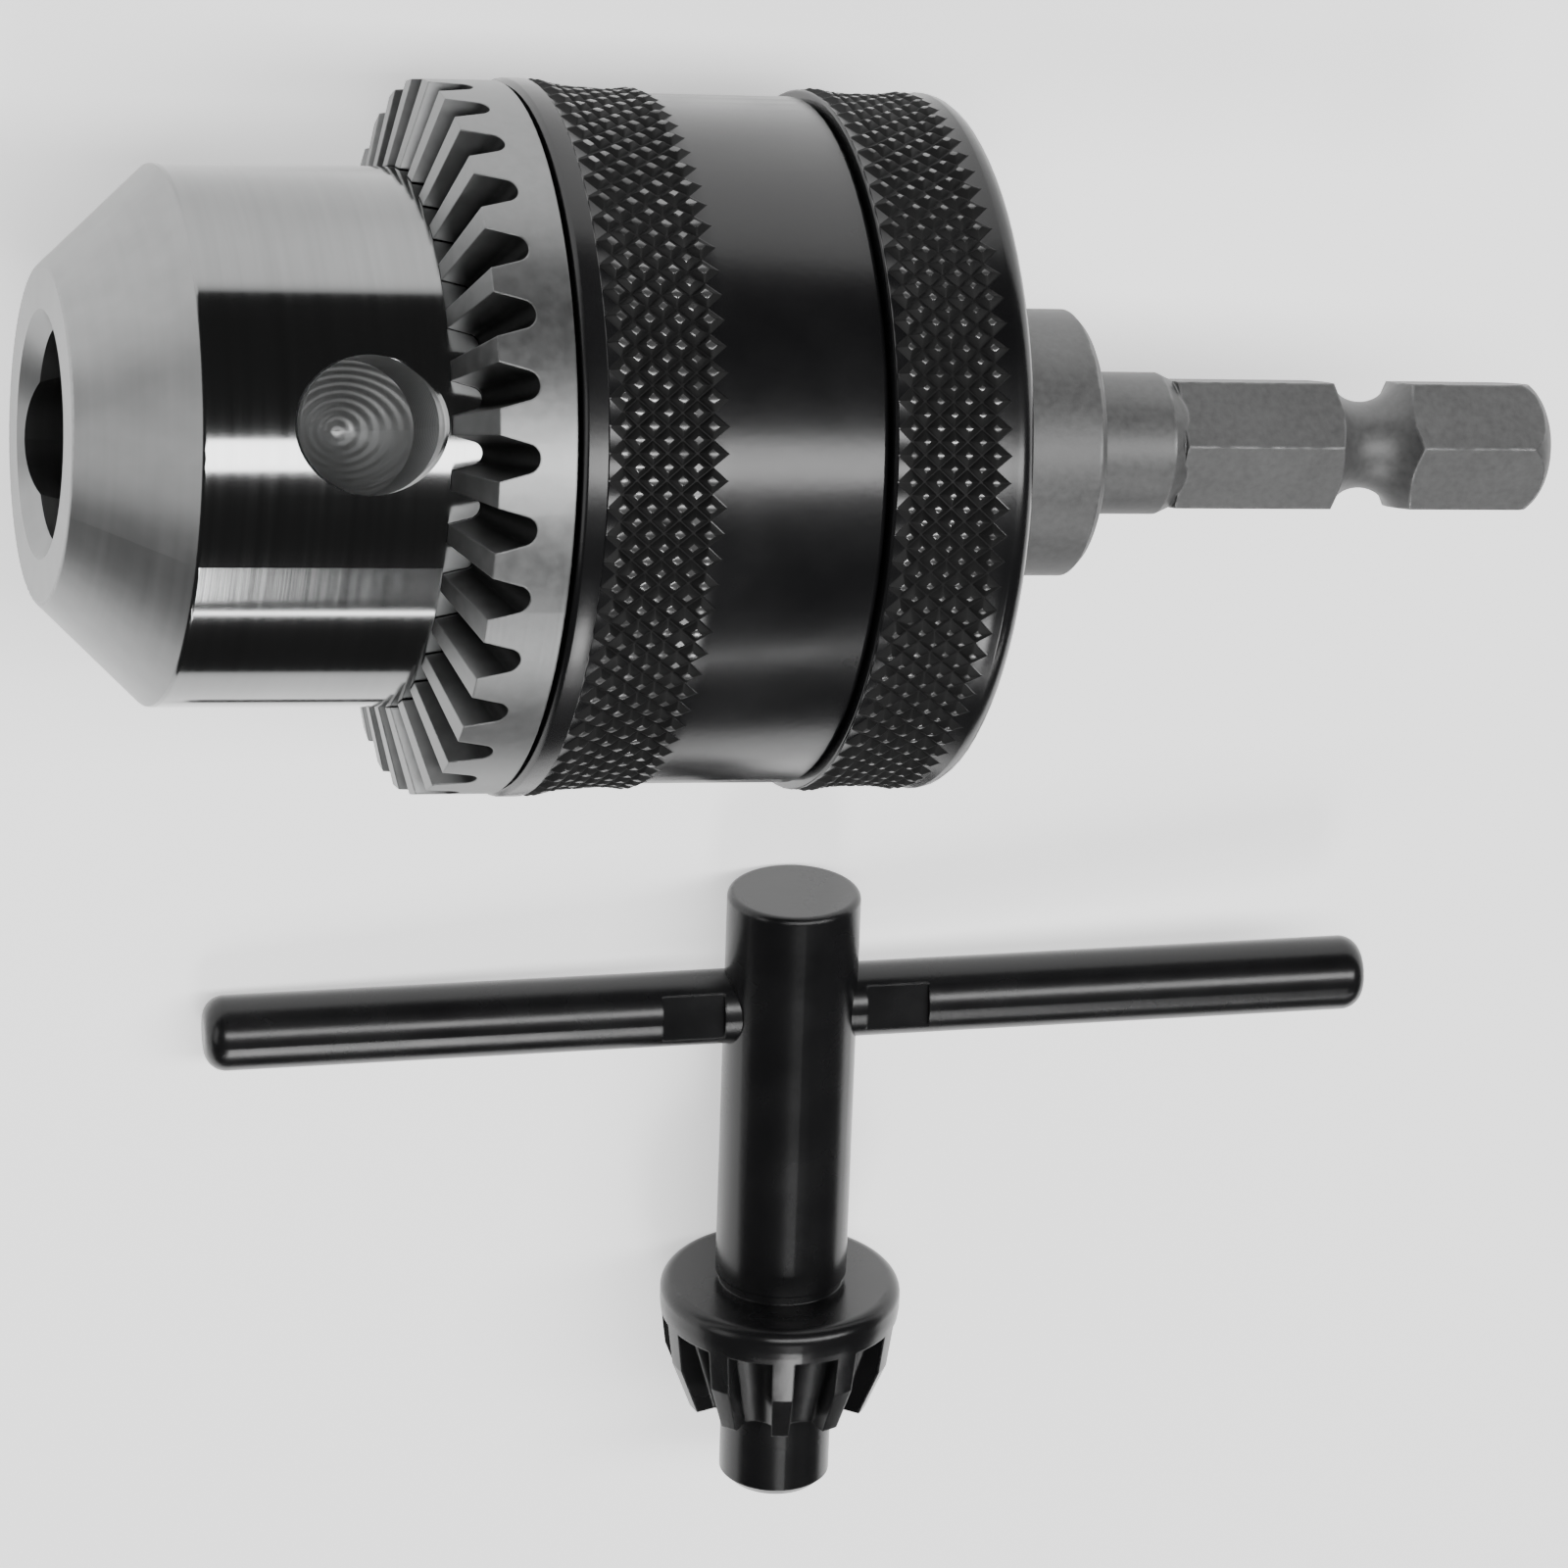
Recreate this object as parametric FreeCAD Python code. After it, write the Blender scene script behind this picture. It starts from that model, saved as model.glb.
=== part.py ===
import FreeCAD, Part
import math
import os

# Keyed three-jaw drill chuck on a hex adapter, with its T-handled chuck key.
# Millimetres. The chuck's axis is X: nose at x = 0, shank towards +X, +Z up.
# The key lies beside the chuck on the same surface, on the -Y side.

# ---- chuck body ----------------------------------------------------------
CONE_LENGTH = 5.25
NOSE_LAND = 15.25
NUT_GROOVE_WIDTH = 7.2
WAIST_LENGTH = 9.9
FLANGE_WIDTH = 5.6
HUB_LENGTH = 1.4
NOSE_R = 13.1
CONE_HEIGHT = 4.95
NOSE_EDGE_FILLET = 0.3
TOOL_BORE_R = 5.15
MOUTH_CHAMFER = 0.85
HUB_R = 8.2
THREAD_BORE_R = 4.78
THREAD_BORE_LENGTH = 15.1
SCREW_PASSAGE_R = 2.7
SCREW_PASSAGE_LENGTH = 2.5
NUT_GROOVE_START = CONE_LENGTH + NOSE_LAND
NUT_GROOVE_END = NUT_GROOVE_START + NUT_GROOVE_WIDTH
FLANGE_START = NUT_GROOVE_END + WAIST_LENGTH
FLANGE_END = FLANGE_START + FLANGE_WIDTH
BODY_LENGTH = FLANGE_END + HUB_LENGTH
THREAD_BORE_START = BODY_LENGTH - THREAD_BORE_LENGTH
TOOL_BORE_END = THREAD_BORE_START - SCREW_PASSAGE_LENGTH

# ---- key pilot holes -----------------------------------------------------
PILOT_HOLES = 3
PILOT_TO_GROOVE = 7.3
PILOT_HOLE_R = 3.3
PILOT_CHAMFER = 0.4
PILOT_FLOOR_WALL = 2.55
PILOT_FIRST_ANGLE = 30.4
DRILL_POINT_HALF_ANGLE = 59.0
PILOT_X = NUT_GROOVE_START - PILOT_TO_GROOVE
PILOT_FLOOR_R = TOOL_BORE_R + PILOT_FLOOR_WALL

# ---- jaws ----------------------------------------------------------------
JAW_COUNT = 3
JAW_R = 3.3
JAW_NOSE_AXIS_R = 2.144
JAW_REAR_INSET = 0.185
JAW_HOLE_CLEARANCE = 0.05
JAW_HOLE_OVERRUN = 3.0
JAW_PITCH = 1.5
JAW_GRIP_R = 4.5
JAW_TIP_X = 8.4
JAW_BACK_ROOM = 2.9
JAW_BACK_CHAMFER = 0.9
JAW_TIP_TAPER = 1.2
JAW_TIP_TAPER_RISE = 0.36
JAW_THREAD_START = 15.0
JAW_THREAD_DEPTH = 0.5
JAW_THREAD_ROOT_WIDTH = 0.33
JAW_THREAD_TOP_WIDTH = 1.0
JAW_THREAD_FLAT = 1.15
JAW_REAR_AXIS_R = NOSE_R - JAW_REAR_INSET
JAW_SLOPE = (JAW_REAR_AXIS_R - JAW_NOSE_AXIS_R) / FLANGE_END
JAW_TILT = math.degrees(math.atan(JAW_SLOPE))
JAW_APEX_X = -JAW_NOSE_AXIS_R / JAW_SLOPE
JAW_BACK_X = FLANGE_END - JAW_BACK_ROOM

# ---- split nut -----------------------------------------------------------
NUT_STEP = 1.1
NUT_SIDE_CLEARANCE = 0.1
NUT_THREAD_CLEARANCE = 0.06
NUT_FLOOR_GAP = 1.5
NUT_SPLIT_GAP = 0.1
WAIST_CLEARANCE = 0.1
NUT_R = NOSE_R + NUT_STEP
WAIST_R = NUT_R - WAIST_CLEARANCE

# ---- sleeve --------------------------------------------------------------
SLEEVE_PILOT_WALL = 1.5
SLEEVE_OUTER_WALL = 1.82
SLEEVE_FRONT_GAP = 0.25
SLEEVE_BACK_GAP = 0.3
SLEEVE_RIM_WIDTH = 1.26
SLEEVE_KNURL_WIDTH = 5.9
SLEEVE_KNURL_DROP = 0.37
SLEEVE_BAND_DROP = 0.6
SLEEVE_JAW_CLEARANCE = 0.355
SLEEVE_CHAMFER = 0.25
RING_SPIGOT_R = NUT_R + SLEEVE_PILOT_WALL
SLEEVE_RIM_R = RING_SPIGOT_R + SLEEVE_OUTER_WALL
SLEEVE_END = FLANGE_START - SLEEVE_BACK_GAP

# ---- ring gear and key pinion -------------------------------------------
RING_TEETH = 32
PINION_TEETH = 11
RING_DROP = 0.15
RING_BACK_OFFSET = 1.45
RING_SPIGOT_LENGTH = 2.45
RING_BORE_CLEARANCE = 0.05
RING_CREST_SLOPE = 0.29
RING_ROOT_SLOPE = 0.402
RING_MOUTH_SHARE = 0.64
RING_FOOT_SHARE = 0.4
RING_FOOT_ROUNDING = 0.25
TOOTH_OVERRUN = 1.0
RING_R = SLEEVE_RIM_R - RING_DROP
RING_BACK_X = NUT_GROOVE_START + RING_BACK_OFFSET
RING_SPIGOT_END = RING_BACK_X + RING_SPIGOT_LENGTH
SLEEVE_START = RING_BACK_X + SLEEVE_FRONT_GAP

# ---- rear collar ---------------------------------------------------------
COLLAR_GAP = 0.15
COLLAR_WALL = 1.285
COLLAR_TAPER = 0.08
COLLAR_EDGE_R = 1.0
COLLAR_LIP = 0.17
FLANGE_TRIM = 0.22
FLANGE_R = JAW_REAR_AXIS_R + JAW_R - FLANGE_TRIM
COLLAR_BACK_R = FLANGE_R + COLLAR_WALL
COLLAR_FRONT_R = COLLAR_BACK_R + COLLAR_TAPER

# ---- hex adapter ---------------------------------------------------------
STUD_CLEARANCE = 0.02
STUD_END_GAP = 2.0
STUD_CHAMFER = 0.6
ADAPTER_COLLAR_R = 6.67
ADAPTER_COLLAR_LENGTH = 7.35
ADAPTER_CHAMFER = 0.35
NECK_R = 3.57
NECK_LENGTH = 5.75
NECK_CHAMFER = 0.5
NECK_CHAMFER_LENGTH = 1.1
HEX_LEAD_IN = 0.15
HEX_FLATS = 6.35
HEX_LENGTH = 19.8
HEX_CORNER_ANGLE = 25.0
HEX_CORNER_MARGIN = 0.1
GROOVE_FROM_END = 9.6
GROOVE_FRONT_WIDTH = 2.35
GROOVE_BACK_WIDTH = 2.0
GROOVE_DEPTH = 1.48
SHANK_END_FILLET = 2.3
ADAPTER_COLLAR_END = BODY_LENGTH + ADAPTER_COLLAR_LENGTH
HEX_START = ADAPTER_COLLAR_END + NECK_LENGTH
CHUCK_LENGTH = HEX_START + HEX_LENGTH

# ---- chuck key -----------------------------------------------------------
KEY_STEM_R = 3.64
KEY_STEM_LENGTH = 23.7
KEY_PILOT_CLEARANCE = 0.22
KEY_PILOT_CHAMFER = 0.5
KEY_FLOOR_GAP = 0.4
KEY_NOSE_GAP = 0.2
KEY_CREST_SLOPE = 0.39
KEY_ROOT_SLOPE = 0.28
KEY_CONE_LENGTH = 2.85
KEY_SHOULDER_LENGTH = 3.0
KEY_SHOULDER_RISE = 0.38
KEY_FLANGE_WIDTH = 1.4
KEY_SHOULDER_FILLET = 3.0
KEY_RIM_FILLET = 0.7
KEY_VALLEY_LENGTH = 5.3
KEY_UNDERCUT_DEPTH = 0.22
KEY_UNDERCUT_WIDTH = 0.6
KEY_BACK_FILLET = 0.35
PINION_MOUTH_SHARE = 0.8
PINION_FOOT_SHARE = 0.6
PINION_FOOT_ROUNDING = 0.2
PINION_TURN = -8.0
BAR_R = 2.05
BAR_LENGTH = 64.2
BAR_FROM_BACK = 6.7
BAR_END_FILLET = 1.2
STAKE_LENGTH = 3.4
STAKE_GAP = 0.3
STAKE_DEPTH = 0.45
STAKE_ANGLE = 6.0
KEY_BAR_X = 47.3
KEY_BAR_DISTANCE = 24.0
KEY_YAW = 4.8
KEY_SEAT_R = PILOT_FLOOR_R + KEY_FLOOR_GAP
KEY_PILOT_R = PILOT_HOLE_R - KEY_PILOT_CLEARANCE
KEY_PILOT_LENGTH = NOSE_R + KEY_NOSE_GAP - KEY_SEAT_R
KEY_CONE_END_X = KEY_PILOT_LENGTH + KEY_CONE_LENGTH
KEY_CONE_END_R = KEY_CREST_SLOPE * (KEY_SEAT_R + KEY_CONE_END_X)
KEY_FLANGE_X = KEY_CONE_END_X + KEY_SHOULDER_LENGTH
KEY_FLANGE_R = KEY_CONE_END_R + KEY_SHOULDER_RISE
KEY_FLANGE_TOP_X = KEY_FLANGE_X + KEY_FLANGE_WIDTH
KEY_LENGTH = KEY_FLANGE_TOP_X + KEY_STEM_LENGTH

X_AXIS = FreeCAD.Vector(1, 0, 0)
ORIGIN = FreeCAD.Vector(0, 0, 0)
BAR_AXIS = FreeCAD.Vector(0, 1, 0)


def at(x, radius, angle):
    """Point at a station x, a radius and an angle measured from +Z towards +Y."""
    turn = math.radians(angle)
    return FreeCAD.Vector(x, radius * math.sin(turn), radius * math.cos(turn))


def revolve(outline):
    """Solid of revolution about X from (x, radius) points."""
    points = [FreeCAD.Vector(x, 0, radius) for x, radius in outline]
    face = Part.Face(Part.makePolygon(points + points[:1]))
    return face.revolve(ORIGIN, X_AXIS, 360)


def turned(shape, angle):
    """Copy of a shape turned about the chuck's axis, from +Z towards +Y."""
    copy = shape.copy()
    copy.rotate(ORIGIN, X_AXIS, -angle)
    return copy


def one_solid(shape):
    """The shape's single solid, with split faces joined."""
    clean = shape.removeSplitter()
    return max(clean.Solids, key=lambda solid: solid.Volume)


def fillet_rings(shape, radius, rings):
    """Fillet the circular edges about X found at the given (x, radius) places."""
    edges = []
    for edge in shape.Edges:
        if not isinstance(edge.Curve, Part.Circle):
            continue
        for x, ring_r in rings:
            if abs(edge.Curve.Center.x - x) < 0.01 and abs(edge.Curve.Radius - ring_r) < 0.01:
                edges.append(edge)
    return shape.makeFillet(radius, edges)


def jaw_axis_r(x):
    """Distance of a jaw's axis from the chuck's axis at station x."""
    return (x - JAW_APEX_X) * math.tan(math.radians(JAW_TILT))


def on_jaw_axis(shape):
    """Place a shape built along +X on the inclined axis of the first jaw."""
    copy = shape.copy()
    copy.rotate(ORIGIN, FreeCAD.Vector(0, 1, 0), -JAW_TILT)
    copy.translate(FreeCAD.Vector(JAW_APEX_X, 0, 0))
    return copy


def along_jaw(x):
    """Distance along a jaw's axis from its apex to station x."""
    return (x - JAW_APEX_X) / math.cos(math.radians(JAW_TILT))


def jaw_angle(index):
    """Jaws stand midway between the key pilot holes."""
    return PILOT_FIRST_ANGLE + (index + 0.5) * 360 / JAW_COUNT


def jaw_half():
    """From a jaw's axis out to its skin, measured square to the chuck's axis."""
    return JAW_R / math.cos(math.radians(JAW_TILT))


def jaw_reach():
    """From a jaw's axis out to the nut's thread, measured square to the chuck's axis."""
    return jaw_half() + NUT_THREAD_CLEARANCE / math.cos(math.radians(JAW_TILT))


def pilot_hole_cutter():
    """Radial hole with a drill-point floor and a chamfered rim, along +Z."""
    outside = NOSE_R + PILOT_HOLE_R
    point = PILOT_HOLE_R / math.tan(math.radians(DRILL_POINT_HALF_ANGLE))
    up = FreeCAD.Vector(0, 0, 1)
    wall = Part.makeCylinder(PILOT_HOLE_R, outside - PILOT_FLOOR_R, at(PILOT_X, PILOT_FLOOR_R, 0), up)
    tip = Part.makeCone(0, PILOT_HOLE_R, point, at(PILOT_X, PILOT_FLOOR_R - point, 0), up)
    rim_low = NOSE_R - PILOT_CHAMFER
    rim_height = outside - rim_low
    rim = Part.makeCone(PILOT_HOLE_R, PILOT_HOLE_R + rim_height, rim_height, at(PILOT_X, rim_low, 0), up)
    return wall.fuse(tip).fuse(rim)


def chuck_body():
    """Nose, nut groove, jaw holes, waist, rear flange and threaded hub."""
    floor_r = jaw_axis_r(NUT_GROOVE_START) + jaw_reach() - NUT_FLOOR_GAP
    nose_flat_r = NOSE_R - CONE_HEIGHT
    body = revolve([
        (0, TOOL_BORE_R + MOUTH_CHAMFER),
        (0, nose_flat_r),
        (CONE_LENGTH, NOSE_R),
        (NUT_GROOVE_START, NOSE_R),
        (NUT_GROOVE_START, floor_r),
        (NUT_GROOVE_END, floor_r),
        (NUT_GROOVE_END, WAIST_R),
        (FLANGE_START, WAIST_R),
        (FLANGE_START, FLANGE_R),
        (FLANGE_END, FLANGE_R),
        (FLANGE_END, HUB_R),
        (BODY_LENGTH, HUB_R),
        (BODY_LENGTH, THREAD_BORE_R),
        (THREAD_BORE_START, THREAD_BORE_R),
        (THREAD_BORE_START, SCREW_PASSAGE_R),
        (TOOL_BORE_END, SCREW_PASSAGE_R),
        (TOOL_BORE_END, TOOL_BORE_R),
        (MOUTH_CHAMFER, TOOL_BORE_R),
    ])
    body = fillet_rings(body, NOSE_EDGE_FILLET, [(0, nose_flat_r), (CONE_LENGTH, NOSE_R)])
    start = along_jaw(-JAW_R)
    hole = Part.makeCylinder(
        JAW_R + JAW_HOLE_CLEARANCE,
        along_jaw(FLANGE_END + JAW_HOLE_OVERRUN) - start,
        FreeCAD.Vector(start, 0, 0),
        X_AXIS,
    )
    cutters = [turned(on_jaw_axis(hole), jaw_angle(index)) for index in range(JAW_COUNT)]
    pilot = pilot_hole_cutter()
    cutters += [turned(pilot, PILOT_FIRST_ANGLE + index * 360 / PILOT_HOLES) for index in range(PILOT_HOLES)]
    for cutter in cutters:
        body = body.cut(cutter)
    return one_solid(body)


def jaw_thread_grooves(index, back):
    """Thread grooves on a jaw's outer side, each jaw a third of a turn further on."""
    root_r = JAW_R - JAW_THREAD_DEPTH
    over_r = JAW_R + JAW_THREAD_DEPTH
    root_half = JAW_THREAD_ROOT_WIDTH / 2
    over_half = JAW_THREAD_TOP_WIDTH - root_half
    groove = revolve([
        (-root_half, root_r),
        (-over_half, over_r),
        (over_half, over_r),
        (root_half, root_r),
    ])
    first = along_jaw(JAW_THREAD_START) + index * JAW_PITCH / JAW_COUNT
    count = int((back - JAW_BACK_CHAMFER - first) / JAW_PITCH)
    grooves = []
    for turn in range(count):
        ring = groove.copy()
        ring.translate(FreeCAD.Vector(first + turn * JAW_PITCH, 0, 0))
        grooves.append(ring)
    outer_side = Part.makeBox(back, 4 * JAW_R, 2 * JAW_R, FreeCAD.Vector(0, -2 * JAW_R, JAW_THREAD_FLAT))
    return Part.makeCompound(grooves).common(outer_side)


def jaw(index):
    """Round jaw with a grip wedge in front and thread teeth outside."""
    back = along_jaw(JAW_BACK_X)
    blank = revolve([
        (along_jaw(JAW_TIP_X - JAW_R), 0),
        (along_jaw(JAW_TIP_X - JAW_R), JAW_R),
        (back - JAW_BACK_CHAMFER, JAW_R),
        (back, JAW_R - JAW_BACK_CHAMFER),
        (back, 0),
    ])
    placed_jaw = on_jaw_axis(blank.cut(jaw_thread_grooves(index, back)))
    wide = 4 * JAW_R
    nose_cut = Part.makeBox(wide, 2 * wide, 2 * wide, FreeCAD.Vector(JAW_TIP_X - wide, -wide, -wide))
    rise = wide * math.tan(math.pi / 2 - math.pi / JAW_COUNT)
    wedge = Part.Face(Part.makePolygon([
        FreeCAD.Vector(0, 0, JAW_GRIP_R),
        FreeCAD.Vector(0, wide, JAW_GRIP_R + rise),
        FreeCAD.Vector(0, wide, -wide),
        FreeCAD.Vector(0, -wide, -wide),
        FreeCAD.Vector(0, -wide, JAW_GRIP_R + rise),
        FreeCAD.Vector(0, 0, JAW_GRIP_R),
    ])).extrude(X_AXIS * (2 * JAW_BACK_X))
    outer_r = jaw_axis_r(JAW_TIP_X) + jaw_half()
    taper_tip = at(JAW_TIP_X, 0, 0)
    taper = Part.makeCylinder(2 * outer_r, JAW_TIP_TAPER, taper_tip, X_AXIS)
    taper_r = outer_r - JAW_TIP_TAPER
    taper = taper.cut(Part.makeCone(taper_r, outer_r + JAW_TIP_TAPER_RISE, JAW_TIP_TAPER, taper_tip, X_AXIS))
    shaped = placed_jaw.cut(nose_cut).cut(wedge).cut(taper)
    return one_solid(turned(shaped, jaw_angle(index)))


def nut_blank():
    """Conical nut ring that sits in the body's groove round the three jaws."""
    front = NUT_GROOVE_START + NUT_SIDE_CLEARANCE
    back = NUT_GROOVE_END - NUT_SIDE_CLEARANCE
    return revolve([
        (front, jaw_axis_r(front) + jaw_reach()),
        (front, NUT_R),
        (back, NUT_R),
        (back, jaw_axis_r(back) + jaw_reach()),
    ])


def nut_half(side):
    """One half of the split nut; side is +1 or -1 across the split."""
    length = NUT_GROOVE_WIDTH * 2
    keep = Part.makeBox(
        length, 4 * NUT_R, 2 * NUT_R,
        FreeCAD.Vector(NUT_GROOVE_START - length / 4, -2 * NUT_R, NUT_SPLIT_GAP / 2),
    )
    half = nut_blank().common(turned(keep, 0 if side > 0 else 180))
    return one_solid(half)


def tooth_space(corners, near, far):
    """Valley between bevel teeth: a U outline drawn at unit distance from the cone
    apex and scaled to the near and far distances. corners are vectors: mouth left,
    foot left, bottom middle, foot right, mouth right, and two outside the crest."""
    wires = []
    for distance in (near, far):
        spots = [corner * distance for corner in corners]
        edges = [
            Part.LineSegment(spots[0], spots[1]).toShape(),
            Part.Arc(spots[1], spots[2], spots[3]).toShape(),
            Part.LineSegment(spots[3], spots[4]).toShape(),
            Part.LineSegment(spots[4], spots[5]).toShape(),
            Part.LineSegment(spots[5], spots[6]).toShape(),
            Part.LineSegment(spots[6], spots[0]).toShape(),
        ]
        wires.append(Part.Wire(edges))
    return Part.makeLoft(wires, True, True)


def ring_gear():
    """Bevel ring gear facing the nose, with a spigot pressed into the sleeve."""
    bore_r = NOSE_R + RING_BORE_CLEARANCE
    nut_front = NUT_GROOVE_START + NUT_SIDE_CLEARANCE
    gear = revolve([
        (PILOT_X + RING_CREST_SLOPE * bore_r, bore_r),
        (PILOT_X + RING_CREST_SLOPE * RING_R, RING_R),
        (RING_BACK_X, RING_R),
        (RING_BACK_X, RING_SPIGOT_R),
        (RING_SPIGOT_END, RING_SPIGOT_R),
        (RING_SPIGOT_END, NUT_R),
        (nut_front, NUT_R),
        (nut_front, bore_r),
    ])
    pitch = 2 * math.pi / RING_TEETH
    mouth = RING_MOUTH_SHARE * pitch / 2
    foot = RING_FOOT_SHARE * pitch / 2
    crest = RING_CREST_SLOPE
    root = RING_ROOT_SLOPE
    foot_slope = root - RING_FOOT_ROUNDING * (root - crest)
    corners = [
        FreeCAD.Vector(crest, mouth, 1),
        FreeCAD.Vector(foot_slope, foot, 1),
        FreeCAD.Vector(root, 0, 1),
        FreeCAD.Vector(foot_slope, -foot, 1),
        FreeCAD.Vector(crest, -mouth, 1),
        FreeCAD.Vector(crest / 2, -mouth, 1),
        FreeCAD.Vector(crest / 2, mouth, 1),
    ]
    space = tooth_space(corners, bore_r - TOOTH_OVERRUN, RING_R + TOOTH_OVERRUN)
    space.translate(FreeCAD.Vector(PILOT_X, 0, 0))
    for tooth in range(RING_TEETH):
        gear = gear.cut(turned(space, PILOT_FIRST_ANGLE + (tooth + 0.5) * 360 / RING_TEETH))
    return one_solid(gear)


def sleeve():
    """Outer sleeve: front rim, knurled band and smooth band, open behind the nut."""
    rim_end = SLEEVE_START + SLEEVE_RIM_WIDTH
    knurl_end = rim_end + SLEEVE_KNURL_WIDTH
    knurl_back_r = SLEEVE_RIM_R - SLEEVE_KNURL_DROP
    band_r = SLEEVE_RIM_R - SLEEVE_BAND_DROP
    relief_r = jaw_axis_r(SLEEVE_END) + jaw_half() + SLEEVE_JAW_CLEARANCE
    shell = revolve([
        (SLEEVE_START, RING_SPIGOT_R),
        (SLEEVE_START, SLEEVE_RIM_R - SLEEVE_CHAMFER),
        (SLEEVE_START + SLEEVE_CHAMFER, SLEEVE_RIM_R),
        (rim_end, SLEEVE_RIM_R),
        (knurl_end, knurl_back_r),
        (knurl_end + knurl_back_r - band_r, band_r),
        (SLEEVE_END - SLEEVE_CHAMFER, band_r),
        (SLEEVE_END, band_r - SLEEVE_CHAMFER),
        (SLEEVE_END, relief_r),
        (NUT_GROOVE_END, relief_r),
        (NUT_GROOVE_END, NUT_R),
        (RING_SPIGOT_END, NUT_R),
        (RING_SPIGOT_END, RING_SPIGOT_R),
    ])
    return one_solid(shell)


def rear_collar():
    """Knurled cup pressed over the body's flange, with a thin back wall."""
    front = SLEEVE_END + COLLAR_GAP
    back = BODY_LENGTH
    cup = revolve([
        (front, FLANGE_R),
        (front, COLLAR_FRONT_R - COLLAR_LIP),
        (front + COLLAR_LIP, COLLAR_FRONT_R),
        (back, COLLAR_BACK_R),
        (back, HUB_R),
        (FLANGE_END, HUB_R),
        (FLANGE_END, FLANGE_R),
    ])
    return one_solid(fillet_rings(cup, COLLAR_EDGE_R, [(back, COLLAR_BACK_R)]))


def hex_shank():
    """Hex bar with a domed end and a ball groove; its front end runs into the neck."""
    corner_r = HEX_FLATS / 2 / math.cos(math.radians(30))
    outer_r = corner_r + HEX_CORNER_MARGIN
    front = HEX_START - NECK_CHAMFER
    corners = [at(front, corner_r, HEX_CORNER_ANGLE + 60 * side) for side in range(6)]
    bar = Part.Face(Part.makePolygon(corners + corners[:1])).extrude(X_AXIS * (CHUCK_LENGTH - front))
    envelope = revolve([
        (front, 0),
        (front, outer_r - HEX_LEAD_IN),
        (front + HEX_LEAD_IN, outer_r),
        (CHUCK_LENGTH, outer_r),
        (CHUCK_LENGTH, 0),
    ])
    envelope = fillet_rings(envelope, SHANK_END_FILLET, [(CHUCK_LENGTH, outer_r)])
    groove_x = CHUCK_LENGTH - GROOVE_FROM_END
    left = FreeCAD.Vector(groove_x - GROOVE_FRONT_WIDTH, 0, outer_r)
    low = FreeCAD.Vector(groove_x, 0, corner_r - GROOVE_DEPTH)
    right = FreeCAD.Vector(groove_x + GROOVE_BACK_WIDTH, 0, outer_r)
    groove_wire = Part.Wire([Part.Arc(left, low, right).toShape(), Part.LineSegment(right, left).toShape()])
    groove = Part.Face(groove_wire).revolve(ORIGIN, X_AXIS, 360)
    return bar.common(envelope).cut(groove)


def shank_adapter():
    """Threaded stud, round collar, neck and hex shank."""
    stud_start = THREAD_BORE_START + STUD_END_GAP
    stud_r = THREAD_BORE_R - STUD_CLEARANCE
    core = revolve([
        (stud_start, 0),
        (stud_start, stud_r - STUD_CHAMFER),
        (stud_start + STUD_CHAMFER, stud_r),
        (BODY_LENGTH, stud_r),
        (BODY_LENGTH, ADAPTER_COLLAR_R),
        (ADAPTER_COLLAR_END - ADAPTER_CHAMFER, ADAPTER_COLLAR_R),
        (ADAPTER_COLLAR_END, ADAPTER_COLLAR_R - ADAPTER_CHAMFER),
        (ADAPTER_COLLAR_END, NECK_R),
        (HEX_START - NECK_CHAMFER_LENGTH, NECK_R),
        (HEX_START, NECK_R - NECK_CHAMFER),
        (HEX_START, 0),
    ])
    return one_solid(core.fuse(hex_shank()))


def key_pitch():
    """Angle of the stem when flange rim and back end both touch the surface."""
    return math.atan2(KEY_FLANGE_R - KEY_STEM_R, KEY_LENGTH - KEY_FLANGE_X)


def key_roll():
    """Roll at which one end of the bar comes down on the surface."""
    pitch = key_pitch()
    gap = BAR_FROM_BACK * math.sin(pitch) + (KEY_STEM_R - BAR_R) * math.cos(pitch)
    return math.asin(gap / (BAR_LENGTH / 2 - BAR_END_FILLET))


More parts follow.
